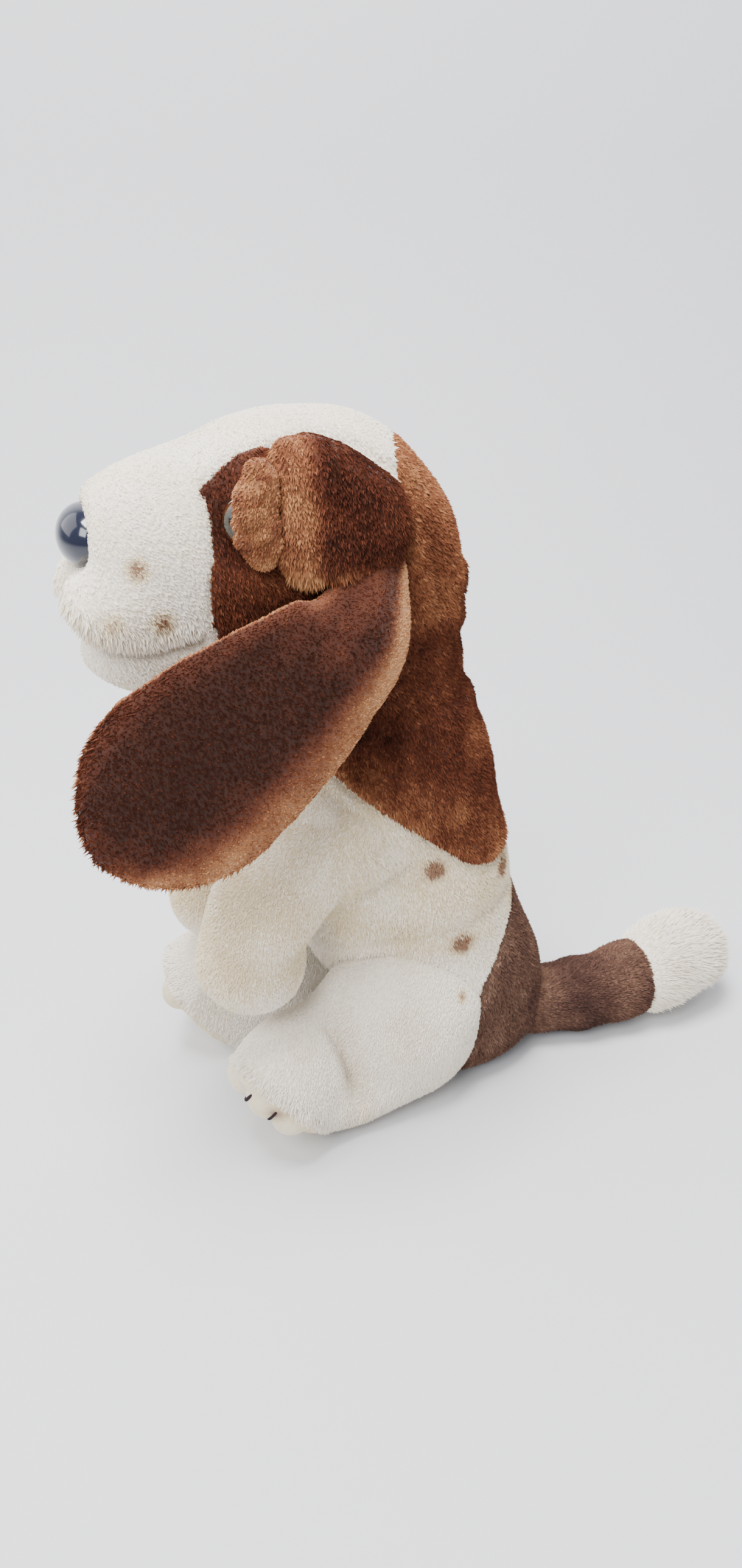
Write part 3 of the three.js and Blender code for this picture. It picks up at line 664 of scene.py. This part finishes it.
class Finish:
    """A material being made: one principled shader, and the nodes that feed it."""

    def __init__(self, name):
        self.material = bpy.data.materials.new(name)
        self.material.use_nodes = True
        self.tree = self.material.node_tree
        self.shader = next(n for n in self.tree.nodes if n.type == "BSDF_PRINCIPLED")

    def node(self, kind, out=0, settings=None, **sockets):
        return add_node(self.tree, kind, out, settings, **sockets)

    def feed(self, **sockets):
        for key, value in sockets.items():
            fill_socket(self.tree, self.shader.inputs[key.replace("_", " ")], value)
        return self.material


def backing_cloth():
    """The plush skin itself, coloured per point with painted shade included, and a little uneven, under the pile."""
    f = Finish("plush_backing")
    place = f.node("ShaderNodeTexCoord", 3)
    dye_and_painted_shade = f.node("ShaderNodeAttribute", 0, {"attribute_name": "dye_and_shade"})
    grain = f.node("ShaderNodeTexNoise", 0, Vector=place, Scale=900.0, Detail=2.0)
    patches = f.node("ShaderNodeTexNoise", 0, Vector=place, Scale=70.0, Detail=2.0)
    level = 0.68 + grain * 0.32 + patches * 0.32
    tint = f.node("ShaderNodeCombineXYZ", 0, X=level, Y=level, Z=level)
    colour = f.node("ShaderNodeVectorMath", 0, {"operation": "MULTIPLY"}, i0=dye_and_painted_shade, i1=tint)
    relief = f.node("ShaderNodeBump", 0, Height=grain, Strength=0.35, Distance=0.0006)
    return f.feed(Base_Color=colour, Roughness=0.95, Normal=relief, Specular_IOR_Level=0.15, Sheen_Weight=0.25)


def pile_tone(name, colour, sheen):
    f = Finish(name)
    return f.feed(
        Base_Color=(*linear(colour), 1), Roughness=0.85, Specular_IOR_Level=0.06,
        Sheen_Weight=sheen, Sheen_Roughness=0.5,
    )


def gloss(name, colour, roughness=0.12):
    f = Finish(name)
    place = f.node("ShaderNodeTexCoord", 3)
    smear = f.node("ShaderNodeTexNoise", 0, Vector=place, Scale=160.0, Detail=3.0)
    return f.feed(
        Base_Color=(*linear(colour), 1), Roughness=roughness + smear * 0.12,
        Coat_Weight=0.5, Coat_Roughness=0.06,
    )


BACKING = backing_cloth()
THREAD = pile_tone("dark_thread", (48, 40, 44), 0.0)
WHITES = [pile_tone(f"white_pile_{i}", c, 0.12) for i, c in enumerate(LIGHT)]
BROWNS = [pile_tone(f"brown_pile_{i}", c, 0.0) for i, c in enumerate(DARK)]
FADED_BROWNS = [pile_tone(f"faded_brown_pile_{i}", c, 0.02) for i, c in enumerate(FADED)]

# ---------------------------------------------------------------- pile

# A tuft's length and width in metres, and how many there are to the square metre.
PILE_LENGTH, PILE_WIDTH, PILE_DENSITY = 0.0022, 0.0008, 2.1e6


def pile_tree(name, tones):
    """Scatters tufts over a skin, leaning with its nap, and gives each one of the tones."""
    tree = bpy.data.node_groups.new(name, "GeometryNodeTree")
    face = tree.interface
    face.new_socket("Skin", in_out="INPUT", socket_type="NodeSocketGeometry")
    wanted = [("Length", "Float", PILE_LENGTH), ("Width", "Float", PILE_WIDTH), ("Density", "Float", PILE_DENSITY)]
    wanted += [("Lean", "Float", 1.5), ("Spread", "Float", 0.55), ("Seed", "Int", 1)]
    for label, kind, value in wanted:
        face.new_socket(label, in_out="INPUT", socket_type=f"NodeSocket{kind}").default_value = value
    face.new_socket("Pile", in_out="OUTPUT", socket_type="NodeSocketGeometry")
    given = tree.nodes.new("NodeGroupInput")
    result = tree.nodes.new("NodeGroupOutput")

    def node(kind, out=0, settings=None, **sockets):
        return add_node(tree, kind, out, settings, **sockets)

    def named(attribute, kind="FLOAT"):
        return node("GeometryNodeInputNamedAttribute", 0, {"data_type": kind}, Name=attribute)

    def maths(operation, a, b=0.0, c=0.0):
        return node("ShaderNodeMath", 0, {"operation": operation}, i0=a, i1=b, i2=c)

    def vector(operation, a, b=None, scale=None):
        more = {"i1": b} if b is not None else {}
        if scale is not None:
            more["Scale"] = scale
        return node("ShaderNodeVectorMath", 0, {"operation": operation}, i0=a, **more)

    def chance(low, high, seed):
        vectors = isinstance(low, tuple)
        kind = "FLOAT_VECTOR" if vectors else "FLOAT"
        pair = {"i0": low, "i1": high} if vectors else {"i2": low, "i3": high}
        return node("FunctionNodeRandomValue", 0 if vectors else 1, {"data_type": kind}, Seed=seed, **pair)

    def compare(operation, a, b):
        return node("FunctionNodeCompare", 0, {"operation": operation}, i0=a, i1=b)

    def tone_number(count, jitter, seed):
        """The tone's place in a family of count tones, jittered and kept within the family."""
        rough = maths("ADD", maths("MULTIPLY", named("shade"), count - 1), chance(-jitter, jitter, seed))
        return maths("MINIMUM", maths("MAXIMUM", rough, 0.0), count - 1.0)

    length, width, density, lean, spread, seed = (given.outputs[n] for n, _, _ in wanted)
    scatter = tree.nodes.new("GeometryNodeDistributePointsOnFaces")
    sources = {
        "Mesh": given.outputs["Skin"], "Selection": compare("GREATER_THAN", named("pile"), 0.12),
        "Density": density, "Seed": seed,
    }
    for label, source in sources.items():
        fill_socket(tree, scatter.inputs[label], source)
    points, normal = Knob(tree, scatter.outputs["Points"]), Knob(tree, scatter.outputs["Normal"])
    fades = compare("GREATER_THAN", named("faded"), 0.5)
    first_brown = maths("MULTIPLY_ADD", fades, float(len(DARK)), float(len(LIGHT)))
    tone = node(
        "GeometryNodeSwitch", 0, {"input_type": "FLOAT"}, Switch=compare("GREATER_THAN", named("white"), 0.5),
        **{
            "True": tone_number(len(LIGHT), 0.5, 11),
            "False": maths("ADD", tone_number(len(DARK), 0.65, 12), first_brown),
        },
    )
    points = node(
        "GeometryNodeStoreNamedAttribute", 0, {"data_type": "FLOAT", "domain": "POINT"},
        Geometry=points, Name="tone", Value=tone,
    )
    way = vector("ADD", normal, vector("SCALE", named("nap", "FLOAT_VECTOR"), scale=lean))
    stray = vector("SCALE", chance((-1, -1, -1), (1, 1, 1), 13), scale=spread)
    turn = node("FunctionNodeAlignRotationToVector", 0, {"axis": "Z"}, Vector=vector("ADD", way, stray))
    wide = maths("MULTIPLY", width, chance(0.75, 1.25, 14))
    tall = maths("MULTIPLY", maths("MULTIPLY", length, named("pile")), chance(0.7, 1.2, 15))
    tuft = node("GeometryNodeMeshCone", 0, {"fill_type": "NGON"}, Vertices=3, Radius_Bottom=0.6, Depth=1.0)
    scale = node("ShaderNodeCombineXYZ", 0, X=wide, Y=wide, Z=tall)
    grown = node(
        "GeometryNodeInstanceOnPoints", 0, None, Points=points, Instance=tuft, Rotation=turn, Scale=scale
    )
    made = node("GeometryNodeRealizeInstances", 0, None, Geometry=grown)
    for i, material in enumerate(tones):
        near = compare("LESS_EQUAL", maths("ABSOLUTE", maths("SUBTRACT", named("tone"), float(i))), 0.5)
        made = node("GeometryNodeSetMaterial", 0, None, Geometry=made, Selection=near, Material=material)
    tree.links.new(made.socket, result.inputs[0])
    return tree


PILE = pile_tree("plush_pile", WHITES + BROWNS + FADED_BROWNS)


def pile_on(piece, name, seed, **sizes_given):
    """The pile of one skin, as a plain mesh of its own."""
    holder = bpy.data.objects.new(piece.name + "_grower", piece.data.copy())
    bpy.context.scene.collection.objects.link(holder)
    grower = holder.modifiers.new("pile", "NODES")
    grower.node_group = PILE
    sockets = {s.name: s.identifier for s in PILE.interface.items_tree if s.in_out == "INPUT"}
    for key, value in {"Seed": seed, **sizes_given}.items():
        grower[sockets[key]] = value
    bpy.context.view_layer.update()
    evaluated = holder.evaluated_get(bpy.context.evaluated_depsgraph_get())
    mesh = bpy.data.meshes.new_from_object(evaluated)
    mesh.name = name
    for kept in list(mesh.attributes):
        if kept.name in ("dye_and_shade", "white", "faded", "shade", "pile", "nap", "tone"):
            mesh.attributes.remove(kept)
    bpy.data.objects.remove(holder)
    pile = bpy.data.objects.new(mesh.name, mesh)
    bpy.context.scene.collection.objects.link(pile)
    return pile


# ---------------------------------------------------------------- plastic


def dome(name, centre, axis, profile, stretch, materials, bands=(), around=48):
    """A turned cap on an axis. profile lists [distance, radius] from its middle to its rim and back underneath.
    Each of bands is the ring at which the next material starts."""
    axis = Vector(axis).normalized()
    base = axis.to_track_quat("Z", "Y").to_matrix()
    points, faces = [], []
    for d, r in profile:
        for k in range(around):
            a = 2 * math.pi * k / around
            ring = Vector((r * math.cos(a) * stretch[0], r * math.sin(a) * stretch[1], d))
            points.append(Vector(centre) + base @ ring)
    points += [Vector(centre) + axis * profile[0][0], Vector(centre) + axis * profile[-1][0]]
    for i in range(len(profile) - 1):
        a, b = i * around, (i + 1) * around
        faces += [(a + k, b + k, b + (k + 1) % around, a + (k + 1) % around) for k in range(around)]
    top, bottom, a = len(points) - 2, len(points) - 1, (len(profile) - 1) * around
    faces += [(k, (k + 1) % around, top) for k in range(around)]
    faces += [(a + (k + 1) % around, a + k, bottom) for k in range(around)]
    piece = thing(name, placed([tuple(q) for q in points]), faces, *materials)
    rings = [min(f) // around if len(f) == 4 else (0 if top in f else len(profile)) for f in faces]
    piece.data.polygons.foreach_set("material_index", [sum(r >= b for b in bands) for r in rings])
    return piece


def arc(radius, height, start, count=9):
    """A profile over a dome from its middle out to its rim at start."""
    angles = np.linspace(0.08, 1, count) * math.pi / 2
    return [[start + height * math.cos(a), radius * math.sin(a)] for a in angles]


def threads(name, lines, radius, material, sides=8):
    """Short lengths of thread, one along each line of points."""
    points, faces = [], []
    for line in lines:
        line, base = np.array(line, float), len(points)
        along = np.gradient(line, axis=0)
        along /= np.linalg.norm(along, axis=1, keepdims=True)
        for i, (at, way) in enumerate(zip(line, along)):
            one = np.cross(way, (1, 0, 0.2))
            one /= np.linalg.norm(one)
            other = np.cross(way, one)
            r = radius * (0.5 if i in (0, len(line) - 1) else 1)
            angles = np.arange(sides) * 2 * math.pi / sides
            points += [at + r * (one * math.cos(a) + other * math.sin(a)) for a in angles]
        for i in range(len(line) - 1):
            a, b = base + i * sides, base + (i + 1) * sides
            faces += [(a + k, a + (k + 1) % sides, b + (k + 1) % sides, b + k) for k in range(sides)]
        end = base + (len(line) - 1) * sides
        faces += [tuple(base + k for k in reversed(range(sides))), tuple(end + k for k in range(sides))]
    return thing(name, placed(points), faces, material)


def toe_threads(name, side, ahead):
    """The two stitches drawn tight between the toes of a foot."""
    form, lines = hind_leg_form(ahead), []
    for toe, other in zip(TOES, TOES[1:]):
        middle, line = (toe + other) / 2 - (0, ahead, 0), []
        for angle in np.radians(np.linspace(-25, 84, 11)):
            way = math.cos(angle) * DOWN + math.sin(angle) * OUT
            reach = np.arange(0, 20, 0.05)[:, None] * way + middle
            line.append(reach[form(reach) < 0][-1] + 0.1 * DOWN)
        lines.append(np.array(line) * (side, 1, 1))
    piece = threads(name, lines, 0.7, THREAD)
    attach(piece, name.split("_")[0] + "_hind_leg")


# ---------------------------------------------------------------- build


def finish_skin(piece, seed, nodes, ride=None, blend=None, fill=0.8, slot=None, layers=1, **sizes_given):
    """Grows the pile, in one mesh or several, says which bodies it all moves with, and hides the parts it stands for.
    """
    sizes_given.setdefault("Density", PILE_DENSITY / layers)
    piles = [
        pile_on(piece, f"{piece.name}_pile_{i + 1}", 10 * seed + i, **sizes_given) for i in range(layers)
    ]
    for part in [piece] + piles:
        if ride:
            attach(part, ride)
        else:
            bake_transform(part, *blend)
    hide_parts(*nodes)


STEP = 1.6  # spacing of the skins' points
RIGHT_HANG, RIGHT_SAG, RIGHT_AHEAD = 0.42, (0, 0, -8), 14

finish_skin(
    skin("head", head_form, (-48, -116, 172), (48, 42, 284), STEP, head_look), 1,
    ["nape_panel", "chin_panel", "muzzle_blaze_panel", "left_face_panel", "right_face_panel", "head_stuffing",
     "neck_stuffing"],
    blend=("torso", "head", spot(0, -2, 188), spot(0, -2, 208)), layers=2,
)
finish_skin(
    skin("body", torso_form, (-50, -52, -3), (50, 88, 196), STEP, torso_look), 2,
    ["cape_panel", "rump_panel", "left_side_panel", "right_side_panel", "torso_stuffing"],
    ride="torso", layers=2,
)
finish_skin(
    skin("tail", tail_form, (-20, 34, -3), (44, 184, 56), STEP, tail_look), 3,
    ["tail_cover", "tail_tip_cover", "tail_stuffing"],
    blend=("torso", "tail", spot(9, 70, 25), spot(9, 88, 22)),
)
EYE_COLOURS = [gloss("pupil", (10, 9, 10)), gloss("iris", (74, 42, 22)), gloss("eye_white", (240, 240, 238), 0.2)]
for name, side in (("left", 1), ("right", -1)):
    # The right ear hangs straighter, the right brow sags a little and the right foot reaches further forward.
    hang, sag, ahead = (0, (0, 0, 0), 0) if side > 0 else (RIGHT_HANG, RIGHT_SAG, RIGHT_AHEAD)
    finish_skin(
        skin(f"{name}_foreleg", foreleg_form, (-4, -92, 46), (54, 6, 168), STEP, white_look, side),
        4 + side, [f"{name}_foreleg_cover", f"{name}_foreleg_stuffing"],
        blend=("torso", f"{name}_foreleg", spot(28 * side, -22, 146), spot(26 * side, -42, 116)),
        slot="cream_plush",
    )
    finish_skin(
        skin(
            f"{name}_hind_leg", hind_leg_form(ahead), (12, -104, -3), (72, 42, 84), STEP,
            hind_leg_look(ahead), side,
        ),
        7 + side, [f"{name}_hind_leg_cover", f"{name}_hind_leg_stuffing", f"{name}_sole_pad"],
        ride=f"{name}_hind_leg", slot="cream_plush",
    )
    toe_threads(f"{name}_toe_stitches", side, ahead)
    finish_skin(
        skin(
            f"{name}_ear_root", ear_fold_form, (18, -52, 220), (56, 2, 282), STEP * 0.75,
            fold_look, side, sag,
        ),
        10 + side, [f"{name}_ear_fold"], ride="head", slot="brown_plush",
    )
    finish_skin(
        skin(
            f"{name}_eyelid_pad", eyelid_form, (22, -66, 226), (52, -42, 274), STEP * 0.5,
            eyelid_look, side, sag,
        ),
        13 + side, [f"{name}_eyelid"], ride="head", slot="tan_plush", Length=0.0018,
    )
    finish_skin(
        ear(f"{name}_ear", side, hang), 16 + side, [f"{name}_ear_outer", f"{name}_ear_lining"],
        blend=("head", f"{name}_ear", spot(50 * side, -8, 240), spot(52 * side, -24, 222)),
        fill=0.3, slot="brown_plush",
    )
    eye_axis = Vector((0.5 * side, -0.85, 0.12))
    eye = dome(
        f"{name}_eyeball", tuple(np.add((32.5 * side, -55.5, 249.5), sag)), eye_axis,
        arc(7.2, 5.6, 0, 13) + [[-1.5, 7.0], [-2, 4], [-12, 2]], (1, 1), EYE_COLOURS, (4, 8),
    )
    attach(eye, "head")
    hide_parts(f"{name}_eye", f"{name}_eye_washer")

nose = dome(
    "nose_cap", (0, -98.3, 241), (0, -1, 0.1),
    arc(14.2, 9.6, 0, 12) + [[-1.4, 13.8], [-2, 8], [-12, 2.5]], (1, 0.72),
    [gloss("nose_plastic", (22, 26, 44), 0.1)],
)
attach(nose, "head")
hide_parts("nose_button", "nose_washer")


# ---------------------------------------------------------------- floor, light, camera

CAMERA_YAW, CAMERA_PITCH = math.radians(20), math.radians(28.5)
CAMERA_AWAY, CAMERA_HEIGHT = 392, 342

def sweep():
    """A floor that curves up into a backdrop on the side away from the camera."""
    reach, start, bend, height = 6.0, -0.42, 0.35, 1.8
    turns = np.linspace(0.1, math.pi / 2, 12)
    profile = [(reach, 0.0), (start, 0.0)]
    profile += [(start - bend * math.sin(a), bend - bend * math.cos(a)) for a in turns]
    profile += [(start - bend, height)]
    out = Vector((math.cos(CAMERA_YAW), -math.sin(CAMERA_YAW), 0))
    side = Vector((math.sin(CAMERA_YAW), math.cos(CAMERA_YAW), 0))
    points = [tuple(out * u + side * s + Vector((0, 0, h))) for u, h in profile for s in (-reach, reach)]
    faces = [(2 * i, 2 * i + 1, 2 * i + 3, 2 * i + 2) for i in range(len(profile) - 1)]
    cloth = Finish("pale_sweep").feed(Base_Color=(*linear((222, 223, 226)), 1), Roughness=0.9)
    thing("sweep", points, faces, cloth)


def lamp(name, place, target, size, power):
    light = bpy.data.lights.new(name, "AREA")
    light.size, light.energy = size, power
    holder = bpy.data.objects.new(name, light)
    bpy.context.scene.collection.objects.link(holder)
    holder.location = place
    holder.rotation_euler = (Vector(target) - Vector(place)).to_track_quat("-Z", "Y").to_euler()


sweep()
lamp("key", (0.7, -0.8, 1.2), (0, 0, 0.12), 0.7, 19)
lamp("fill", (1.1, 0.8, 0.7), (0, 0, 0.1), 1.0, 3)
lamp("over", (0.1, -0.25, 1.5), (0, 0, 0), 0.55, 38)
lamp("back", (-0.5, -0.9, 0.8), (0, 0, 0.15), 0.9, 6)
world = bpy.data.worlds.new("soft_room")
world.use_nodes = True
world.node_tree.nodes["Background"].inputs["Color"].default_value = (0.86, 0.89, 0.93, 1)
world.node_tree.nodes["Background"].inputs["Strength"].default_value = 0.52
bpy.context.scene.world = world

camera = bpy.data.objects.new("camera", bpy.data.cameras.new("camera"))
bpy.context.scene.collection.objects.link(camera)
cos, sin = math.cos(CAMERA_YAW), math.sin(CAMERA_YAW)
camera.location = spot(-9 + CAMERA_AWAY * cos, -CAMERA_AWAY * sin, CAMERA_HEIGHT)
aim = Vector((-cos * math.cos(CAMERA_PITCH), sin * math.cos(CAMERA_PITCH), -math.sin(CAMERA_PITCH)))
camera.rotation_euler = aim.to_track_quat("-Z", "Y").to_euler()
camera.data.lens, camera.data.sensor_width, camera.data.clip_start = 26, 36, 0.01
bpy.context.scene.camera = camera
